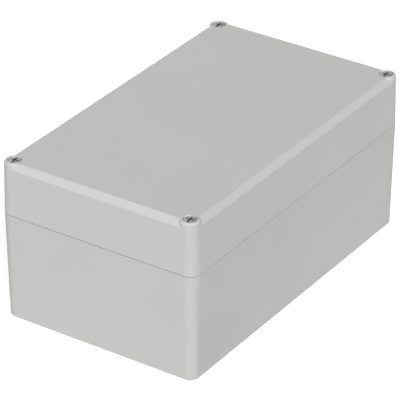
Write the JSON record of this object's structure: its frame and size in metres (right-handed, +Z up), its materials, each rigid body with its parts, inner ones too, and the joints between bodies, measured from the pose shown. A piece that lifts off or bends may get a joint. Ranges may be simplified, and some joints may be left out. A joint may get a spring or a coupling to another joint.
{
  "type": "plastic project box",
  "caption": "Sealed rectangular plastic enclosure with a deep lift-off lid, bevelled top edges, captive corner screws, a tongue-and-groove seal and wall fixing holes outside the seal.",
  "frame": {"origin": "on the underside of the base, at the middle of the footprint", "axes": "+X along the length, +Y across the width, +Z up towards the lid"},
  "size_m": [0.2, 0.12, 0.092],
  "materials": {
    "shell": "light grey moulded plastic, smooth satin",
    "seal": "foamed seal, matt",
    "insert_brass": "turned and knurled",
    "ring_steel": "stamped",
    "screw_steel": "plain stainless steel"
  },
  "bodies": {
    "base": {"base": "shell", "insert_front_left": "insert_brass", "insert_front_right": "insert_brass", "insert_back_right": "insert_brass", "insert_back_left": "insert_brass"},
    "lid": {"lid": "shell", "gasket": "seal"},
    "ring_front_left": {"retaining_ring_front_left": "ring_steel"},
    "screw_front_left": {"lid_screw_front_left": "screw_steel"},
    "ring_front_right": {"retaining_ring_front_right": "ring_steel"},
    "screw_front_right": {"lid_screw_front_right": "screw_steel"},
    "ring_back_right": {"retaining_ring_back_right": "ring_steel"},
    "screw_back_right": {"lid_screw_back_right": "screw_steel"},
    "ring_back_left": {"retaining_ring_back_left": "ring_steel"},
    "screw_back_left": {"lid_screw_back_left": "screw_steel"}
  },
  "joints": [
    {"name": "lid_lift", "type": "slide", "parent": "base", "child": "lid", "axis": [0, 0, 1], "range_m": [0, 0.1]},
    {"name": "screw_rise_front_left", "type": "slide", "parent": "lid", "child": "ring_front_left", "axis": [0, 0, 1], "range_m": [0, 0.00805]},
    {"name": "screw_turn_front_left", "type": "hinge", "parent": "ring_front_left", "child": "screw_front_left", "pos_m": [-0.094, -0.054, 0.09], "axis": [0, 0, 1], "range_deg": [0, 4140]},
    {"name": "screw_rise_front_right", "type": "slide", "parent": "lid", "child": "ring_front_right", "axis": [0, 0, 1], "range_m": [0, 0.00805]},
    {"name": "screw_turn_front_right", "type": "hinge", "parent": "ring_front_right", "child": "screw_front_right", "pos_m": [0.094, -0.054, 0.09], "axis": [0, 0, 1], "range_deg": [0, 4140]},
    {"name": "screw_rise_back_right", "type": "slide", "parent": "lid", "child": "ring_back_right", "axis": [0, 0, 1], "range_m": [0, 0.00805]},
    {"name": "screw_turn_back_right", "type": "hinge", "parent": "ring_back_right", "child": "screw_back_right", "pos_m": [0.094, 0.054, 0.09], "axis": [0, 0, 1], "range_deg": [0, 4140]},
    {"name": "screw_rise_back_left", "type": "slide", "parent": "lid", "child": "ring_back_left", "axis": [0, 0, 1], "range_m": [0, 0.00805]},
    {"name": "screw_turn_back_left", "type": "hinge", "parent": "ring_back_left", "child": "screw_back_left", "pos_m": [-0.094, 0.054, 0.09], "axis": [0, 0, 1], "range_deg": [0, 4140]}
  ],
  "couplings": [
    {"joint": "screw_turn_front_left", "follows": "screw_rise_front_left", "rad_per_m": 8976},
    {"joint": "screw_turn_front_right", "follows": "screw_rise_front_right", "rad_per_m": 8976},
    {"joint": "screw_turn_back_right", "follows": "screw_rise_back_right", "rad_per_m": 8976},
    {"joint": "screw_turn_back_left", "follows": "screw_rise_back_left", "rad_per_m": 8976}
  ]
}
